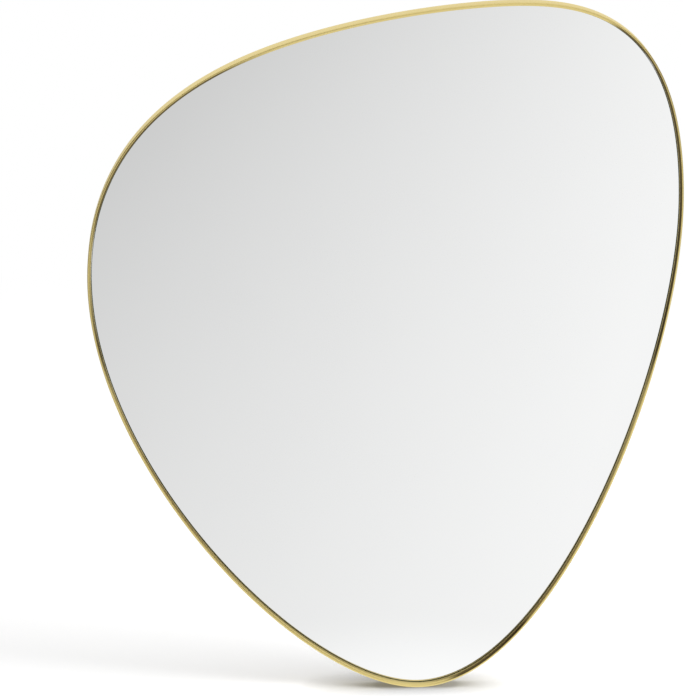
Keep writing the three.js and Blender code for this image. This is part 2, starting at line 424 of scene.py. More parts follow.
def attribute(tree, name):
    return addNode(tree, "Attribute", attribute_name=name).outputs["Fac"]


mostOfNoise = (0.3, 0.7)  # levels between which nearly all of a noise lies
grainShape = {
    "detail": 5.0,
    "roughness": 0.65,
    "patches": (0.15, 0.02, 0.02),  # wider streaks: their scale as shares of the grain's
    "patchDetail": 2.0,
}
dustShape = {
    "detail": 7.0,
    "roughness": 0.6,
    "speckScale": 900.0,
    "setsIn": (0.22, 0.42),
}
scuffShape = {
    "ways": (25, 80, 140),  # degrees
    "drawnOut": (0.08, 1, 3.0),
    "detail": 3.0,
    "setsIn": (0.66, 0.74),
}


# grain drawn out along one direction, as abrasive belts leave it
def makeBrushedGrain():
    group, entry, out = newGroup(
        "brushedGrain",
        [("Vector", "Vector", None), ("Along", "Float", 20.0), ("Across", "Float", 4000.0)],
        ["Grain", "Patches"],
    )
    across = entry.outputs["Across"]
    scale = addNode(group, "CombineXYZ", {"X": entry.outputs["Along"], "Y": across, "Z": across})
    drawn = stretched(group, entry.outputs["Vector"], scale.outputs[0])
    wide = stretched(group, drawn, grainShape["patches"])
    plug(group, out, {
        "Grain": noise(
            group, drawn, 1.0, grainShape["detail"], Roughness=grainShape["roughness"],
        ),
        "Patches": noise(group, wide, 1.0, grainShape["patchDetail"]),
    })
    return group


# light dust and hand marks: soft islands with a speckled edge
def makeHandledDust():
    group, entry, out = newGroup(
        "handledDust",
        [("Vector", "Vector", None), ("Scale", "Float", 8.0), ("Amount", "Float", 0.5)],
        ["Mask"],
    )
    place = entry.outputs["Vector"]
    clouds = noise(
        group, place, entry.outputs["Scale"], dustShape["detail"],
        Roughness=dustShape["roughness"],
    )
    specks = noise(group, place, dustShape["speckScale"], 1.0)
    cut = spread(group, reckon(group, "MULTIPLY", clouds, specks), dustShape["setsIn"])
    plug(group, out, {"Mask": reckon(group, "MULTIPLY", cut, entry.outputs["Amount"])})
    return group


# fine straight scuffs lying every way
def makeScuffs():
    group, entry, out = newGroup(
        "scuffs",
        [("Vector", "Vector", None), ("Scale", "Float", 60.0), ("Amount", "Float", 0.5)],
        ["Mask"],
    )
    total = None
    for way in scuffShape["ways"]:
        turned = addNode(group, "Mapping", {
            "Vector": entry.outputs["Vector"], "Rotation": (0, radians(way), 0),
        })
        drawn = stretched(group, turned.outputs[0], scuffShape["drawnOut"])
        lines = noise(group, drawn, entry.outputs["Scale"], scuffShape["detail"])
        mark = spread(group, lines, scuffShape["setsIn"])
        total = mark if total is None else reckon(group, "MAXIMUM", total, mark)
    plug(group, out, {"Mask": reckon(group, "MULTIPLY", total, entry.outputs["Amount"])})
    return group


brushedGrain = makeBrushedGrain()
handledDust = makeHandledDust()
scuffs = makeScuffs()


bar = {
    "face": 0.004,
    "edge": (0.0011, 4, 60),
    "smooth": 40,
    "innerRadius": 0.0024,  # the front's inner edge is rolled over further
    "innerSteps": 9,
    # headings at which the painted shade line along the inner edge fades: degrees, and the cosines
    # it fades between
    "plainHeadings": (
        (86, 0.84, 0.93), (178, 0.965, 1.03), (244, 0.62, 0.75), (-27, 0.972, 0.985),
    ),
}


brassLook = {
    "dark": (0.78, 0.62, 0.235),
    "light": (0.88, 0.74, 0.315),
    "roughness": (0.27, 0.40),
    "anisotropic": 0.82,
    "anisotropicTurn": 0.25,
    "alongPerMetre": 9,
    "acrossPerMetre": 2600,
    "relief": (0.03, 0.0002),  # bump strength, and its distance in metres
    "paintedEdgeShade": (0.072, 0.049, 0.020),  # painted shade: a dark line along the inner edge, standing in for the shade and dark reflection there
    "paintedShadeWidth": (0.48, 0.60),  # shares of the bar's face
    "paintedShadeDepth": (0.0034, 0.0026),  # below the front
    "paintedShadeGrain": (1.0, 0.8),
    "paintedGapShade": (0.012, 0.010, 0.008),  # painted shade on the inner wall beside the glass
    "gapFrom": (-0.0001, 0.0003),  # behind the glass's face
    "gapWidth": (0.05, 0.15),
    "dust": {"Scale": 14.0, "Amount": 0.04},
}


def makeBrass():
    material, tree, shader, place = newMaterial("brushedBrass")
    grain = useGroup(
        tree, brushedGrain, Vector=addNode(tree, "UVMap", uv_map="unrolled").outputs[0],
        Along=brassLook["alongPerMetre"], Across=brassLook["acrossPerMetre"],
    )
    fine = grain.outputs["Grain"]
    depth = addNode(tree, "SeparateXYZ", {0: place}).outputs["Y"]
    across = attribute(tree, "acrossBar")
    low, high = mostOfNoise
    tone = halfway(tree, fine, grain.outputs["Patches"])
    metal = ramp(tree, tone, [(low, brassLook["dark"]), (high, brassLook["light"])])
    # painted shade: a dark line along the front's inner edge, standing in for its shade and dark
    # reflection
    inner = ease(tree, across, brassLook["paintedShadeWidth"], (1.0, 0.0))
    front = frameBox[0].y
    deep, shallow = brassLook["paintedShadeDepth"]
    atFront = spread(tree, depth, (front + deep, front + shallow))
    shadeGrain = spread(tree, fine, mostOfNoise, brassLook["paintedShadeGrain"])
    line = reckon(tree, "MULTIPLY", inner, atFront)
    line = reckon(tree, "MULTIPLY", line, attribute(tree, "paintedShadeStrength"))
    line = reckon(tree, "MULTIPLY", line, shadeGrain)
    edged = blend(tree, line, metal, brassLook["paintedEdgeShade"])
    # painted shade: the inner wall in the narrow gap beside the glass is painted near black
    ahead, behind = brassLook["gapFrom"]
    beside = spread(tree, depth, (glassBox[0].y + ahead, glassBox[0].y + behind))
    onWall = spread(tree, across, brassLook["gapWidth"], (1.0, 0.0))
    inGap = reckon(tree, "MULTIPLY", beside, onWall)
    rough = spread(tree, fine, mostOfNoise, brassLook["roughness"])
    dust = useGroup(tree, handledDust, Vector=place, **brassLook["dust"])
    tangent = addNode(tree, "Tangent", direction_type="UV_MAP", uv_map="unrolled")
    plug(tree, shader, {
        "Base Color": blend(tree, inGap, edged, brassLook["paintedGapShade"]),
        "Roughness": reckon(tree, "ADD", rough, dust.outputs["Mask"]),
        "Normal": relief(tree, fine, *brassLook["relief"]),
        "Tangent": tangent.outputs[0],
        "Metallic": 1,
        "Anisotropic": brassLook["anisotropic"],
        "Anisotropic Rotation": brassLook["anisotropicTurn"],
    })
    return material


weldLook = {
    "tint": (180.0, 4.0),  # scale and detail
    "tones": [(0.3, (0.30, 0.19, 0.09)), (0.5, (0.55, 0.38, 0.17)), (0.7, (0.66, 0.50, 0.26))],
    "roughness": (0.32, 0.6),
    "fine": (1400.0, 3.0),
    "relief": (0.25, 0.0003),
}


def makeWeld():
    material, tree, shader, place = newMaterial("weldMetal")
    tint = noise(tree, place, *weldLook["tint"])
    plug(tree, shader, {
        "Base Color": ramp(tree, tint, weldLook["tones"]),
        "Roughness": spread(tree, tint, (0.0, 1.0), weldLook["roughness"]),
        "Normal": relief(tree, noise(tree, place, *weldLook["fine"]), *weldLook["relief"]),
        "Metallic": 1,
    })
    return material


tabLook = {
    "dark": (0.46, 0.36, 0.145),
    "light": (0.68, 0.55, 0.24),
    "toneRange": (0.35, 0.65),
    "grain": {"Along": 40.0, "Across": 2200.0},
    "cloud": (90.0, 3.0),
    "burnt": (0.20, 0.125, 0.07),  # what the welding heat has left by the root
    "straw": (0.62, 0.42, 0.14),
    "burntReach": (0.0015, 0.0055),
    "strawReach": (0.004, 0.0105),
    "burntShare": 0.9,
    "strawShare": 0.75,
    "wander": 0.003,
    "roughness": (0.30, 0.46),
    "dust": {"Scale": 30.0, "Amount": 0.12},
    "relief": (0.12, 0.0002),
}


# rolled brass sheet, tinted by the heat of its weld
def makeTabMetal():
    material, tree, shader, place = newMaterial("rolledBrass")
    grain = useGroup(tree, brushedGrain, Vector=place, **tabLook["grain"]).outputs["Grain"]
    cloud = noise(tree, place, *tabLook["cloud"])
    low, high = tabLook["toneRange"]
    tone = halfway(tree, grain, cloud)
    metal = ramp(tree, tone, [(low, tabLook["dark"]), (high, tabLook["light"])])
    wander = spread(tree, cloud, mostOfNoise, (-tabLook["wander"], tabLook["wander"]))
    reach = reckon(tree, "ADD", attribute(tree, "fromRoot"), wander)
    straw = ease(tree, reach, tabLook["strawReach"], (tabLook["strawShare"], 0.0))
    burnt = ease(tree, reach, tabLook["burntReach"], (tabLook["burntShare"], 0.0))
    warmed = blend(tree, straw, metal, tabLook["straw"])
    dust = useGroup(tree, handledDust, Vector=place, **tabLook["dust"])
    rough = spread(tree, grain, mostOfNoise, tabLook["roughness"])
    plug(tree, shader, {
        "Base Color": blend(tree, burnt, warmed, tabLook["burnt"]),
        "Roughness": reckon(tree, "ADD", rough, dust.outputs["Mask"]),
        "Normal": relief(tree, grain, *tabLook["relief"]),
        "Metallic": 1,
    })
    return material


silverLook = {
    "tones": [(0.0, (0.905, 0.91, 0.908)), (1.0, (0.893, 0.898, 0.896))],
    "roughness": (0.004, 0.02),
    "dust": {"Scale": 5.0, "Amount": 1.0},
}


def makeSilver():
    material, tree, shader, place = newMaterial("silveredGlass")
    dust = useGroup(tree, handledDust, Vector=place, **silverLook["dust"]).outputs["Mask"]
    plug(tree, shader, {
        "Base Color": ramp(tree, dust, silverLook["tones"]),
        "Roughness": spread(tree, dust, (0.0, 1.0), silverLook["roughness"]),
        "Metallic": 1,
    })
    return material


edgeLook = {
    "cut": (700.0, 4.0),
    "tones": [(0.3, (0.03, 0.07, 0.055)), (0.7, (0.07, 0.14, 0.11))],
    "roughness": (0.3, 0.6),
    "relief": (0.2, 0.0001),
}


def makeGlassEdge():
    material, tree, shader, place = newMaterial("groundGlassEdge")
    cut = noise(tree, place, *edgeLook["cut"])
    plug(tree, shader, {
        "Base Color": ramp(tree, cut, edgeLook["tones"]),
        "Roughness": spread(tree, cut, (0.0, 1.0), edgeLook["roughness"]),
        "Normal": relief(tree, cut, *edgeLook["relief"]),
    })
    return material


paintLook = {
    "peel": (500.0, 2.0),
    "tones": [(0.3, (0.20, 0.205, 0.21)), (0.7, (0.26, 0.265, 0.27))],
    "roughness": (0.45, 0.6),
}


def makeBackingPaint():
    material, tree, shader, place = newMaterial("backingPaint")
    peel = noise(tree, place, *paintLook["peel"])
    plug(tree, shader, {
        "Base Color": ramp(tree, peel, paintLook["tones"]),
        "Roughness": spread(tree, peel, (0.0, 1.0), paintLook["roughness"]),
    })
    return material


boardLook = {
    "paint": [(0.35, (0.019, 0.018, 0.017)), (0.65, (0.030, 0.028, 0.026))],
    "rubbed": (0.085, 0.080, 0.072),
    "dusty": (0.16, 0.155, 0.145),
    "fibres": (420, 6.0),
    "fibreRoughness": 0.7,
    "cloud": (6.0, 3.0),
    "roughFrom": (0.35, 0.65),
    "roughness": (0.52, 0.74),
    "scuffs": {"Scale": 85.0, "Amount": 0.30},
    "dust": {"Scale": 16.0, "Amount": 0.28},
    "relief": (0.35, 0.0002),
}


def makeBlackBoard():
    material, tree, shader, place = newMaterial("blackBoard")
    fibres = noise(tree, place, *boardLook["fibres"], Roughness=boardLook["fibreRoughness"])
    tone = halfway(tree, fibres, noise(tree, place, *boardLook["cloud"]))
    paint = ramp(tree, tone, boardLook["paint"])
    marks = useGroup(tree, scuffs, Vector=place, **boardLook["scuffs"])
    dust = useGroup(tree, handledDust, Vector=place, **boardLook["dust"])
    rubbed = blend(tree, marks.outputs["Mask"], paint, boardLook["rubbed"])
    plug(tree, shader, {
        "Base Color": blend(tree, dust.outputs["Mask"], rubbed, boardLook["dusty"]),
        "Roughness": spread(tree, tone, boardLook["roughFrom"], boardLook["roughness"]),
        "Normal": relief(tree, fibres, *boardLook["relief"]),
    })
    return material


zincLook = {
    "spangle": 260.0,
    "cloud": (120.0, 5.0),
    "tones": [(0.25, (0.44, 0.46, 0.48)), (0.55, (0.60, 0.62, 0.62)), (0.8, (0.69, 0.68, 0.63))],
    "roughness": (0.24, 0.42),
    "scuffs": {"Scale": 220.0, "Amount": 0.16},
    "relief": (0.15, 0.0001),
}


def makeZinc():
    material, tree, shader, place = newMaterial("zincSteel")
    spangle = addNode(tree, "TexVoronoi", {"Vector": place, "Scale": zincLook["spangle"]})
    cloud = noise(tree, place, *zincLook["cloud"])
    mixed = reckon(tree, "ADD", spangle.outputs["Distance"], cloud)
    tone = reckon(tree, "MULTIPLY", mixed, 0.5)
    marks = useGroup(tree, scuffs, Vector=place, **zincLook["scuffs"])
    rough = spread(tree, cloud, mostOfNoise, zincLook["roughness"])
    plug(tree, shader, {
        "Base Color": ramp(tree, tone, zincLook["tones"]),
        "Roughness": reckon(tree, "ADD", rough, marks.outputs["Mask"]),
        "Normal": relief(tree, mixed, *zincLook["relief"]),
        "Metallic": 1,
    })
    return material


rubberLook = {
    "grain": (1600.0, 3.0),
    "tones": [(0.0, (0.014, 0.014, 0.015)), (1.0, (0.075, 0.073, 0.070))],
    "roughness": (0.6, 0.85),
    "dust": {"Scale": 60.0, "Amount": 0.5},
    "relief": (0.3, 0.0001),
}


def makeRubber():
    material, tree, shader, place = newMaterial("rubber")
    grain = noise(tree, place, *rubberLook["grain"])
    dust = useGroup(tree, handledDust, Vector=place, **rubberLook["dust"])
    plug(tree, shader, {
        "Base Color": ramp(tree, dust.outputs["Mask"], rubberLook["tones"]),
        "Roughness": spread(tree, grain, (0.0, 1.0), rubberLook["roughness"]),
        "Normal": relief(tree, grain, *rubberLook["relief"]),
    })
    return material


foamLook = {
    "cells": 1500.0,
    "tones": [(0.1, (0.52, 0.50, 0.46)), (0.6, (0.74, 0.72, 0.67))],
    "roughness": 0.9,
    "relief": (0.4, 0.0002),
}


def makeFoam():
    material, tree, shader, place = newMaterial("foamTape")
    cells = addNode(tree, "TexVoronoi", {"Vector": place, "Scale": foamLook["cells"]})
    plug(tree, shader, {
        "Base Color": ramp(tree, cells.outputs["Distance"], foamLook["tones"]),
        "Roughness": foamLook["roughness"],
        "Normal": relief(tree, cells.outputs["Distance"], *foamLook["relief"]),
    })
    return material


filmLook = {
    "weave": {"Scale": 260.0, "Distortion": 0.6},
    "tones": [(0.2, (0.28, 0.31, 0.33)), (0.8, (0.36, 0.39, 0.41))],
    "roughness": 0.45,
    "relief": (0.2, 0.0001),
}


def makeFilm():
    material, tree, shader, place = newMaterial("safetyFilm")
    weave = addNode(tree, "TexWave", {"Vector": place, **filmLook["weave"]}).outputs["Fac"]
    plug(tree, shader, {
        "Base Color": ramp(tree, weave, filmLook["tones"]),
        "Roughness": filmLook["roughness"],
        "Normal": relief(tree, weave, *filmLook["relief"]),
    })
    return material


looks = {
    "brass": makeBrass(),
    "weld": makeWeld(),
    "tab": makeTabMetal(),
    "silver": makeSilver(),
    "glassEdge": makeGlassEdge(),
    "backingPaint": makeBackingPaint(),
    "board": makeBlackBoard(),
    "zinc": makeZinc(),
    "rubber": makeRubber(),
    "foam": makeFoam(),
    "film": makeFilm(),
}
print("materials", len(looks))


# frame: the outline extruded to the bar's depth, then given its thickness

def unroll(thing):
    layer = thing.data.uv_layers.new(name="unrolled")
    whole = outlineLengths[-1]
    for face in thing.data.polygons:
        start = besideOutline(face.center)[0]
        for corner in face.loop_indices:
            place = thing.data.vertices[thing.data.loops[corner].vertex_index].co
            run, near, _, outward = besideOutline(place)
            if run - start > whole / 2:
                run -= whole
            if start - run > whole / 2:
                run += whole
            inward = (near - Vector((place.x, 0, place.z))).dot(outward)
            layer.data[corner].uv = (run, place.y - inward)


def eased(value, low, high):
    share = min(max((value - low) / (high - low), 0.0), 1.0)
    return share * share * (3 - 2 * share)


# how far across the bar a point lies, and how strong the painted shade line along the inner edge is
# there, by the way the outline faces
def markInnerEdge(thing):
    acrossBar = thing.data.attributes.new("acrossBar", "FLOAT", "POINT")
    paintedShadeStrength = thing.data.attributes.new("paintedShadeStrength", "FLOAT", "POINT")
    for vertex in thing.data.vertices:
        _, near, _, outward = besideOutline(vertex.co)
        inward = (near - Vector((vertex.co.x, 0, vertex.co.z))).dot(outward)
        acrossBar.data[vertex.index].value = 1 - inward / bar["face"]
        shade = 1.0
        for heading, low, high in bar["plainHeadings"]:
            facing = outward.x * cos(radians(heading)) + outward.z * sin(radians(heading))
            shade *= 1 - eased(facing, low, high)
        paintedShadeStrength.data[vertex.index].value = shade


def rollInnerEdge(thing):
    inner = set()
    for vertex in thing.data.vertices:
        near = besideOutline(vertex.co)[1]
        inward = (near - Vector((vertex.co.x, 0, vertex.co.z))).length
        if inward > bar["face"] / 2 and vertex.co.y < middle.y:
            inner.add(vertex.index)
    selectWhere(thing, lambda edge: inner.issuperset(edge.vertices), "edges")
    bpy.ops.mesh.bevel(offset=bar["innerRadius"], segments=bar["innerSteps"], affect="EDGES")
    leaveEdit()


def makeFrame():
    thing = drawOutline()
    editAll(thing)
    bpy.ops.transform.translate(value=(0, frameBox[1].y, 0))
    extrudeBy(0, frameBox[0].y - frameBox[1].y, 0)
    leaveEdit()
    outwardNormals(thing)
    wall = thing.data.polygons[0]
    if besideOutline(wall.center)[3].dot(wall.normal) < 0:
        editAll(thing)
        bpy.ops.mesh.flip_normals()
        leaveEdit()
    addModifier(thing, "SOLIDIFY", thickness=bar["face"], offset=-1, use_even_offset=True)
    rollInnerEdge(thing)
    softenEdges(thing, *bar["edge"])
    unroll(thing)
    markInnerEdge(thing)
    smoothed(thing, bar["smooth"])
    handOver(thing, "frame_bar", "mirror_body", "brushed_brass", looks["brass"], "frame")
    return thing


frameBar = makeFrame()
print("frame bar", len(frameBar.data.polygons), "faces")


# flat plates that follow the outline: glass and board

def plate(inset, back, front):
    thing = drawOutline()
    editAll(thing)
    bpy.ops.transform.translate(value=(0, back, 0))
    bpy.ops.mesh.edge_face_add()
    bpy.ops.mesh.inset(thickness=inset, use_even_offset=True)
    selectWhere(thing, lambda face: len(face.vertices) == 4, "polygons")
    bpy.ops.mesh.delete(type="FACE")
    bpy.ops.mesh.select_all(action="SELECT")
    extrudeBy(0, front - back, 0)
    leaveEdit()
    outwardNormals(thing)
    return thing


glass = {
    "clearance": 0.0003,  # bar to glass
    "edge": (0.0006, 2, 60),
    "smooth": 25,
    "flat": 0.95,  # cosine: past it a face belongs to the front or the back
}


def makeGlass():
    thing = plate(bar["face"] + glass["clearance"], glassBox[1].y, glassBox[0].y)
    finishEdges(thing, glass)
    handOver(thing, "mirror_pane", "mirror_body", "mirror", looks["silver"], "mirror_glass")
    thing.data.materials.append(looks["glassEdge"])
    thing.data.materials.append(looks["backingPaint"])
    for face in thing.data.polygons:
        if face.normal.y > -glass["flat"]:
            face.material_index = 2 if face.normal.y > glass["flat"] else 1


board = {
    "clearance": 0.0012,
    "edge": (0.0005, 2, 60),
    "smooth": 25,
}


def makeBoard():
    thing = plate(bar["face"] + board["clearance"], boardBox[1].y, boardBox[0].y)
    finishEdges(thing, board)
    handOver(thing, "backing_board", "mirror_body", "black_board", looks["board"], "back_board")


makeGlass()
makeBoard()
print("glass and board made")


# tabs inside the bar's rear edge, each with its weld and its screw

tab = {
    "count": 8,
    "width": 0.022,
    "rootGap": 0.0003,
    "innerEnd": 0.0335,  # outline to the tab's rounded end
    "endFlat": 0.00005,  # left at each side of that end
    "endSteps": 12,
    "screwInset": 0.018,  # outline to the screw
    "holeRadius": 0.0022,
    "holeSides": 32,
    "drillDepth": 0.02,
    "edge": (0.00025, 2, 50),
    "smooth": 35,
}
weld = {
    "length": 0.0185,
    "radius": 0.0019,
    "sides": 16,
    "rings": 44,
    "blunt": 6,  # the higher, the blunter its ends
    "ripples": 13,
    "rippleDepth": 0.13,
    "flatten": 0.55,
    "wander": 0.00012,
    "wanderTurn": 9.0,
    "lift": 0.0001,  # off the tab's rear face
    "smooth": 60,
}
panScrew = {  # what both sizes of screw share
    "sides": 36,
    "crown": 0.55,  # share of the head's height that is rounded
    "crownSteps": 6,
    "crownProfile": 0.6,
    "point": 0.25,
    "slot": (1.15, 1.3, 0.24),  # length and width by the head's radius, depth by its height
    "slotFloor": 0.45,
    "edge": (0.00012, 2, 40),
    "smooth": 40,
}
tabScrew = {
    "headRadius": 0.0038,
    "headHeight": 0.002,
    "shankRadius": 0.00175,
    "tip": 0.0012,
    "turns": (0.7, 1.9),  # radians: the slot's first angle, and more for each number
}


def makeTabShape():
    lo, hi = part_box("board_tab_1")
    root = -(bar["face"] + tab["rootGap"])
    length = tab["innerEnd"] + root
    thing = addSheet(tab["width"], length, lo.y, root)
    roundEnd(thing, tab, root - length / 2)
    bpy.ops.mesh.select_all(action="SELECT")
    extrudeBy(0, hi.y - lo.y, 0)
    leaveEdit()
    outwardNormals(thing)
    drillHole(thing, tab, (0, lo.y, -tab["screwInset"]))
    finishEdges(thing, tab)
    fromRoot = thing.data.attributes.new("fromRoot", "FLOAT", "POINT")
    for vertex in thing.data.vertices:
        fromRoot.data[vertex.index].value = root - vertex.co.z
    return thing


def makeWeldShape():
    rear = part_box("board_tab_1")[1].y
    thing = addCylinder(weld["sides"], weld["radius"], weld["length"], (0, pi / 2, 0))
    vertices = thing.data.vertices

    def runsAlong(edge):
        start, end = (vertices[number].co.x for number in edge.vertices)
        return start * end < 0

    selectWhere(thing, runsAlong, "edges")
    bpy.ops.mesh.subdivide(number_cuts=weld["rings"])
    leaveEdit()
    for vertex in thing.data.vertices:
        share = vertex.co.x / (weld["length"] / 2)
        taper = max(1 - abs(share) ** weld["blunt"], 0.0) ** 0.5
        ripple = 1 - weld["rippleDepth"] * abs(sin(share * pi * weld["ripples"] / 2))
        wander = weld["wander"] * sin(share * weld["wanderTurn"])
        vertex.co.y *= taper * ripple * weld["flatten"]
        vertex.co.z = vertex.co.z * taper * ripple + wander
    seat = (0, rear + weld["lift"], -bar["face"] - tab["rootGap"] / 2)
    thing.data.transform(Matrix.Translation(seat))
    outwardNormals(thing)
    smoothed(thing, weld["smooth"])
    return thing


def makePanScrew(node, size):
    lo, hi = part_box(node)
    radius, height, tip = size["headRadius"], size["headHeight"], size["tip"]
    length = hi.y - lo.y - height
    thing = addCylinder(panScrew["sides"], radius, height, (-pi / 2, 0, 0), (0, height / 2, 0))
    vertices = thing.data.vertices

    def onTop(edge):
        return min(vertices[number].co.y for number in edge.vertices) > height / 2

    selectWhere(thing, onTop, "edges")
    bpy.ops.mesh.bevel(
        offset=height * panScrew["crown"], segments=panScrew["crownSteps"],
        profile=panScrew["crownProfile"],
    )
    selectWhere(thing, lambda face: face.normal.y < -nearlySquare, "polygons")
    bpy.ops.mesh.inset(thickness=radius - size["shankRadius"])
    extrudeBy(0, tip - length, 0)
    extrudeBy(0, -tip, 0)
    bpy.ops.transform.resize(value=(panScrew["point"], 1, panScrew["point"]))
    leaveEdit()
    outwardNormals(thing)
    long, deep, wide = panScrew["slot"]
    for turn in (0, pi / 2):
        bpy.ops.mesh.primitive_cube_add(size=1, location=(0, height, 0))
        blade = bpy.context.object
        blade.scale = (radius * long, height * deep, radius * wide)
        blade.rotation_euler = (0, turn, 0)
        settle(blade)
        selectWhere(blade, lambda vertex: vertex.co.y < height)
        bpy.ops.transform.resize(value=(panScrew["slotFloor"], 1, panScrew["slotFloor"]))
        leaveEdit()
        cutAway(thing, blade)
    finishEdges(thing, panScrew)
    return thing


# a copy of a screw in its node's place, its slot turned
def seatScrew(shape, size, name, node, angle):
    lo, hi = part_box(node)
    centre = (lo + hi) / 2
    seat = Matrix.Translation((centre.x, hi.y - size["headHeight"], centre.z))
    screw = copyOf(shape, seat @ Matrix.Rotation(angle, 4, "Y"))
    handOver(screw, name, "mirror_body", "zinc_steel", looks["zinc"], node)


# turn and place of a piece that sits square to the outline at a spot
def squareTo(spot):
    _, near, along, outward = besideOutline(spot)
    return Matrix((
        (along.x, 0, outward.x, near.x),
        (0, 1, 0, 0),
        (along.z, 0, outward.z, near.z),
        (0, 0, 0, 1),
    ))


def makeTabs():
    tabShape = makeTabShape()
    weldShape = makeWeldShape()
    screwShape = makePanScrew("tab_screw_1", tabScrew)
    first, step = tabScrew["turns"]
    for number in range(1, tab["count"] + 1):
        screwNode = f"tab_screw_{number}"
        lo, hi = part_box(screwNode)
        seat = squareTo((lo + hi) / 2)
        handOver(
            copyOf(tabShape, seat), f"tab_{number}", "mirror_body", "brushed_brass",
            looks["tab"], f"board_tab_{number}",
        )
        handOver(
            copyOf(weldShape, seat), f"tab_weld_{number}", "mirror_body", "brushed_brass",
            looks["weld"],
        )
        angle = first + number * step
        seatScrew(screwShape, tabScrew, f"board_screw_{number}", screwNode, angle)
    for shape in (tabShape, weldShape, screwShape):
        bpy.data.objects.remove(shape)


makeTabs()
print("tabs, welds and screws made")


# hangers: a folded strap, its two screws and a D-ring

strap = {
    "width": 0.014,
    "length": 0.044,  # pivot to the rounded end
    "thickness": 0.0012,
    "pivotGap": 0.0003,
    "bendSteps": 22,
    "foldSlope": 40,  # degrees
    "foldGap": 0.0001,
    "foldEnd": 0.0085,
    "endFlat": 0.00005,
    "endSteps": 14,
    "holes": (0.013, 0.034),
    "holeRadius": 0.0019,
    "holeSides": 28,
    "drillDepth": 0.004,
    "edge": (0.00018, 2, 50),
    "smooth": 40,
}
ring = {
    "wire": 0.0015,
    "wireSteps": 6,
    "arm": 0.0095,
    "corner": 0.002,
    "sideGap": 0.001,
    "lean": 0.5523,  # share of a quarter round's radius that its handles reach
    "straight": 0.001,  # the same where it runs straight on, metres
    "curveSteps": 14,
    "smooth": 60,
}
strapScrew = {
    "headRadius": 0.0032,
    "headHeight": 0.0018,
    "shankRadius": 0.0016,
    "tip": 0.0012,
    "turns": (0.4, 1.0, 2.0),  # radians: first, for each number, for each metre to the right
}


def makeStrapShape():
    half = strap["thickness"] / 2
    centre = strap["thickness"] + strap["pivotGap"] + ring["wire"]
    radius = centre - half
    slope = radians(strap["foldSlope"])
    thing = addSheet(strap["width"], strap["length"], boardBack + half, 0)
    selectWhere(thing, lambda vertex: vertex.co.z > -half)
    bpy.ops.mesh.spin(
        steps=strap["bendSteps"], angle=pi + slope,
        center=(0, boardBack + centre, 0), axis=(1, 0, 0),
    )
    landing = strap["thickness"] + strap["foldGap"] + half
    lastUp = -radius * sin(slope)
    lastOut = centre + radius * cos(slope)
    drop = (lastOut - landing) / (sin(slope) / cos(slope))
    extrudeBy(0, landing - lastOut, -drop)
    extrudeBy(0, 0, drop - lastUp - strap["foldEnd"])
    roundEnd(thing, strap, -strap["length"] / 2)
    leaveEdit()
    outwardNormals(thing)
    addModifier(thing, "SOLIDIFY", thickness=strap["thickness"], offset=0)
    outwardNormals(thing)
    for below in strap["holes"]:
        drillHole(thing, strap, (0, boardBack + half, -below))
    finishEdges(thing, strap)
    return thing


def makeRingShape(pivot):
    half = strap["width"] / 2 + ring["sideGap"] + ring["wire"]
    corner, straight, low = ring["corner"], ring["straight"], -ring["arm"]
    bend, bow = corner * ring["lean"], half * ring["lean"]
    stops = []
    for x, z, way, before, after in (
        (-half + corner, 0, (1, 0), bend, straight),
        (half - corner, 0, (1, 0), straight, bend),
        (half, -corner, (0, -1), bend, straight),
        (half, low, (0, -1), straight, bow),
        (0, low - half, (-1, 0), bow, bow),
        (-half, low, (0, 1), bow, straight),
        (-half, -corner, (0, 1), straight, bend),
    ):
        place = Vector((x, pivot.y, z + pivot.z))
        stops.append((place, Vector((way[0], 0, way[1])), before, after))
    curve = bezierLoop(stops, ring["curveSteps"])
    curve.data.bevel_depth = ring["wire"]
    curve.data.bevel_resolution = ring["wireSteps"]
    thing = toMesh(curve)
    outwardNormals(thing)
    smoothed(thing, ring["smooth"])
    return thing


def makeHangers():
    strapShape = makeStrapShape()
    screwShape = makePanScrew("hanger_screw_left_1", strapScrew)
    first, step, aside = strapScrew["turns"]
    for joint in frame["joints"]:
        side = "left" if "left" in joint["child"] else "right"
        pivot = Vector(joint["pos_m"])
        handOver(
            copyOf(strapShape, Matrix.Translation((pivot.x, 0, pivot.z))), f"strap_{side}",
            "mirror_body", "zinc_steel", looks["zinc"], f"hanger_strap_{side}",
        )
        ringPiece = makeRingShape(Vector((0, pivot.y, pivot.z)))
        ringPiece.data.transform(Matrix.Translation((pivot.x, 0, 0)))
        handOver(
            ringPiece, f"hanging_ring_{side}", f"ring_{side}", "zinc_steel", looks["zinc"],
            f"d_ring_{side}",
        )
        for number in (1, 2):
            angle = first + number * step + aside * pivot.x
            name, node = f"strap_screw_{side}_{number}", f"hanger_screw_{side}_{number}"
            seatScrew(screwShape, strapScrew, name, node, angle)
    for shape in (strapShape, screwShape):
        bpy.data.objects.remove(shape)


makeHangers()
print("hangers made")


# rubber bumpers

pad = {
    "baseRadius": 0.008,
    "faceRadius": 0.006,
    "skirt": 0.2,  # share of the height that stands straight
    "dimple": 0.0022,
    "dimpleDepth": 0.0005,
    "sides": 48,
    "edge": (0.0006, 4, 30),
    "smooth": 50,
}


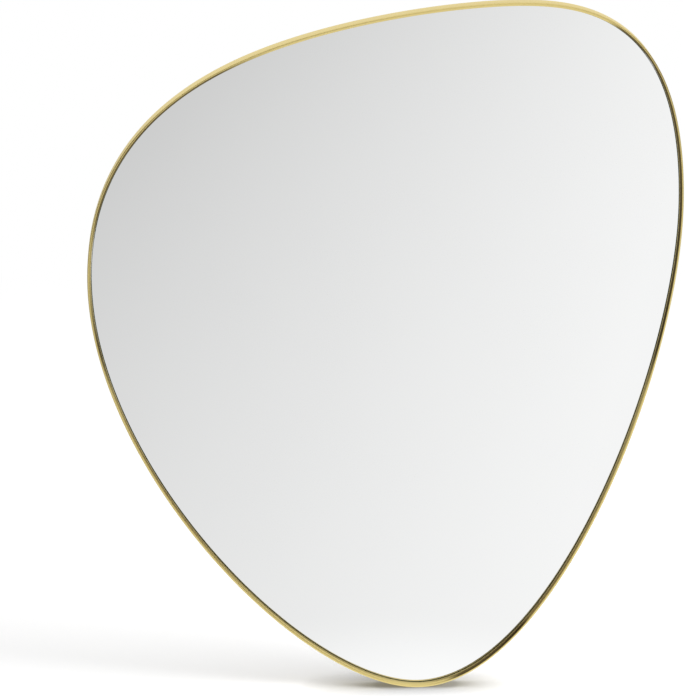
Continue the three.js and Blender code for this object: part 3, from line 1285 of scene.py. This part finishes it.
def makeBumpers():
    for corner in ("upper_right", "lower_right", "lower_left", "upper_left"):
        node = f"wall_bumper_{corner}"
        lo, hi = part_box(node)
        centre = (lo + hi) / 2
        height = hi.y - lo.y
        skirt = height * pad["skirt"]
        thing = addCylinder(
            pad["sides"], pad["baseRadius"], skirt, (-pi / 2, 0, 0),
            (centre.x, lo.y + skirt / 2, centre.z),
        )
        selectWhere(thing, lambda face: face.normal.y > nearlySquare, "polygons")
        extrudeBy(0, height - skirt, 0)
        bpy.ops.transform.resize(value=(pad["faceRadius"] / pad["baseRadius"],) * 3)
        bpy.ops.mesh.inset(thickness=pad["faceRadius"] - pad["dimple"])
        extrudeBy(0, -pad["dimpleDepth"], 0)
        leaveEdit()
        outwardNormals(thing)
        finishEdges(thing, pad)
        handOver(thing, f"bumper_{corner}", "mirror_body", "rubber", looks["rubber"], node)


makeBumpers()
print("bumpers made")


# what lies hidden between the glass and the board keeps its own shape

def paintHidden():
    for name, node in frame["nodes"].items():
        if name.startswith("foam_tape") or name == "safety_film":
            finish = looks["film"] if name == "safety_film" else looks["foam"]
            node.data.materials.clear()
            node.data.materials.append(finish)


paintHidden()


# studio: a white floor that runs out into a white surround, one soft key lamp and a low fill

studio = {
    "floorRadius": 30.0,
    "floorSides": 128,
    "floorColour": (0.82, 0.82, 0.82),
    "floorGlow": 0.25,  # added for the camera, so that the unshaded floor is white
    "fadeFrom": 0.9,  # metres from the mirror's foot
    "fadeTo": 1.9,
    "contact": ((0.05, 1.3), (0.010, 1.0)),  # reach and depth of the shade where bar meets floor
    "contactLeast": 0.3,
    "contactSamples": 8,
    "worldFill": 0.73,
    "overhead": (0.95, 0.95, 0.95),  # what polished surfaces see
    "overheadFrom": (0.30, 0.48),
    "leftLean": 0.15,  # how much higher it starts on the left
    "lowRise": (0.0, 0.10),
    "lowRight": ((-0.05, 0.03), (0.20, 0.30)),  # where the low light begins and ends
    "behindFrom": (0.15, 0.6),
    "darkFront": (0.15, 0.112, 0.08),
    "besidePool": 0.45,  # floor at its sides, and the surround low down
    "horizon": (0.0, 0.16),  # over which the floor's level passes into the dark
    "pool": (0.608, 1.007),  # floor in front of the mirror, from the left to the right
    "poolFrom": (-1.1, 0.15),
    "poolLean": 0.2,
    "poolEdge": (0.75, 3.0),
    "poolRear": (0.0, 0.6),
    "footGlow": 0.10,  # brighter still right in front of the foot
    "footReach": (0.03, 0.28),
}
lamps = {
    "keyLamp": {
        "place": (3.14, -0.88, 0.68), "aim": (0, 0, floorLevel + 0.2), "size": 1.5, "watts": 165,
    },
    "rearLamp": {
        "place": (-1.4, 2.6, 1.9), "aim": (0, 0, -0.2), "size": 1.6, "watts": 10,
    },
}


def mixShaders(tree, factor, first, second):
    return addNode(tree, "MixShader", {0: factor, 1: first, 2: second}).outputs[0]


# one shader lights the object, one is for the camera and one for polished metal and glass
def byRay(tree, lighting, camera, polished):
    rays = addNode(tree, "LightPath").outputs
    shown = mixShaders(tree, rays["Is Camera Ray"], lighting, camera)
    gloss = reckon(tree, "MAXIMUM", rays["Is Glossy Ray"], rays["Is Transmission Ray"])
    return mixShaders(tree, gloss, shown, polished)


def glow(tree, strength):
    return addNode(tree, "Emission", {"Strength": strength}).outputs[0]


def makeFloor():
    bpy.ops.mesh.primitive_circle_add(
        vertices=studio["floorSides"], radius=studio["floorRadius"], fill_type="NGON",
        location=(0, 0, floorLevel),
    )
    floor = bpy.context.object
    floor.name = "floor"
    settle(floor)
    material = bpy.data.materials.new("floorPaper")
    material.use_nodes = True
    tree = material.node_tree
    tree.nodes.clear()
    output = addNode(tree, "OutputMaterial")
    place = addNode(tree, "TexCoord").outputs["Object"]
    flat = stretched(tree, place, (1, 1, 0))
    away = addNode(tree, "VectorMath", {0: flat}, operation="LENGTH").outputs["Value"]
    # the shadow deepens where the bar meets the floor
    shades = []
    for reach, depth in studio["contact"]:
        samples = studio["contactSamples"]
        near = addNode(tree, "AmbientOcclusion", {"Distance": reach}, samples=samples)
        shades.append(reckon(tree, "POWER", near.outputs["AO"], depth))
    contact = reckon(tree, "MULTIPLY", *shades)
    contact = reckon(tree, "MAXIMUM", contact, studio["contactLeast"])
    paper = blend(tree, contact, (0, 0, 0), studio["floorColour"])
    diffuse = addNode(tree, "BsdfDiffuse", {"Color": paper}).outputs[0]
    ownGlow = glow(tree, reckon(tree, "MULTIPLY", contact, studio["floorGlow"]))
    lit = addNode(tree, "AddShader", {0: diffuse, 1: ownGlow}).outputs[0]
    fade = ease(tree, away, (studio["fadeFrom"], studio["fadeTo"]))
    seen = mixShaders(tree, fade, lit, glow(tree, 1.0))
    # the pool of light in front of the mirror, dimmer to the left and out of the light at its sides
    parts = addNode(tree, "SeparateXYZ", {0: place}).outputs
    slant = reckon(tree, "MULTIPLY", parts["Y"], studio["poolLean"])
    slant = reckon(tree, "ADD", slant, parts["X"])
    dim = spread(tree, slant, studio["poolFrom"], studio["pool"])
    aside = addNode(tree, "Math", {0: parts["X"]}, operation="ABSOLUTE").outputs[0]
    edge = ease(tree, aside, studio["poolEdge"], (1.0, studio["besidePool"]))
    edge = reckon(tree, "MAXIMUM", edge, spread(tree, parts["Y"], studio["poolRear"]))
    atFoot = ease(tree, away, studio["footReach"], (studio["footGlow"], 0.0))
    pool = reckon(tree, "ADD", reckon(tree, "MULTIPLY", dim, edge), atFoot)
    shown = byRay(tree, diffuse, seen, glow(tree, pool))
    under = addNode(tree, "NewGeometry").outputs["Backfacing"]
    clear = addNode(tree, "BsdfTransparent").outputs[0]
    plug(tree, output, {"Surface": mixShaders(tree, under, shown, clear)})
    floor.data.materials.append(material)


def makeSurround():
    world = bpy.data.worlds.new("studioSurround")
    bpy.context.scene.world = world
    world.use_nodes = True
    tree = world.node_tree
    tree.nodes.clear()
    output = addNode(tree, "OutputWorld")
    parts = addNode(tree, "SeparateXYZ", {0: addNode(tree, "TexCoord").outputs["Generated"]})
    x, y, z = (parts.outputs[axis] for axis in "XYZ")
    # polished metal sees soft light overhead, behind it and low on the right, and dark in front
    leftward = reckon(tree, "MAXIMUM", reckon(tree, "MINIMUM", x, 0.0), -studio["leftLean"])
    overhead = ease(tree, reckon(tree, "ADD", z, leftward), studio["overheadFrom"])
    begins, ends = studio["lowRight"]
    low = reckon(tree, "MULTIPLY", ease(tree, z, studio["lowRise"]), ease(tree, x, begins))
    low = reckon(tree, "MULTIPLY", low, ease(tree, x, ends, (1.0, 0.0)))
    bright = reckon(tree, "MAXIMUM", overhead, low)
    bright = reckon(tree, "MAXIMUM", bright, ease(tree, y, studio["behindFrom"]))
    nearFloor = ease(tree, z, studio["horizon"], (1.0, 0.0))
    dark = blend(tree, nearFloor, studio["darkFront"], (studio["besidePool"],) * 3)
    toned = blend(tree, bright, dark, studio["overhead"])
    white = (1, 1, 1, 1)
    fill, seen, polished = (
        addNode(tree, "Background", {"Color": colour, "Strength": strength}).outputs[0]
        for colour, strength in ((white, studio["worldFill"]), (white, 1.0), (toned, 1.0))
    )
    plug(tree, output, {"Surface": byRay(tree, fill, seen, polished)})


def addLamp(name, place, aim, size, watts):
    bpy.ops.object.light_add(type="AREA", location=place)
    lamp = bpy.context.object
    lamp.name = name
    lamp.data.size = size
    lamp.data.energy = watts
    lamp.rotation_euler = (Vector(aim) - Vector(place)).to_track_quat("-Z", "Y").to_euler()
    lamp.visible_glossy = False


makeFloor()
makeSurround()
for name, lamp in lamps.items():
    addLamp(name, **lamp)
bpy.context.scene.view_settings.view_transform = "Standard"
print("studio set")
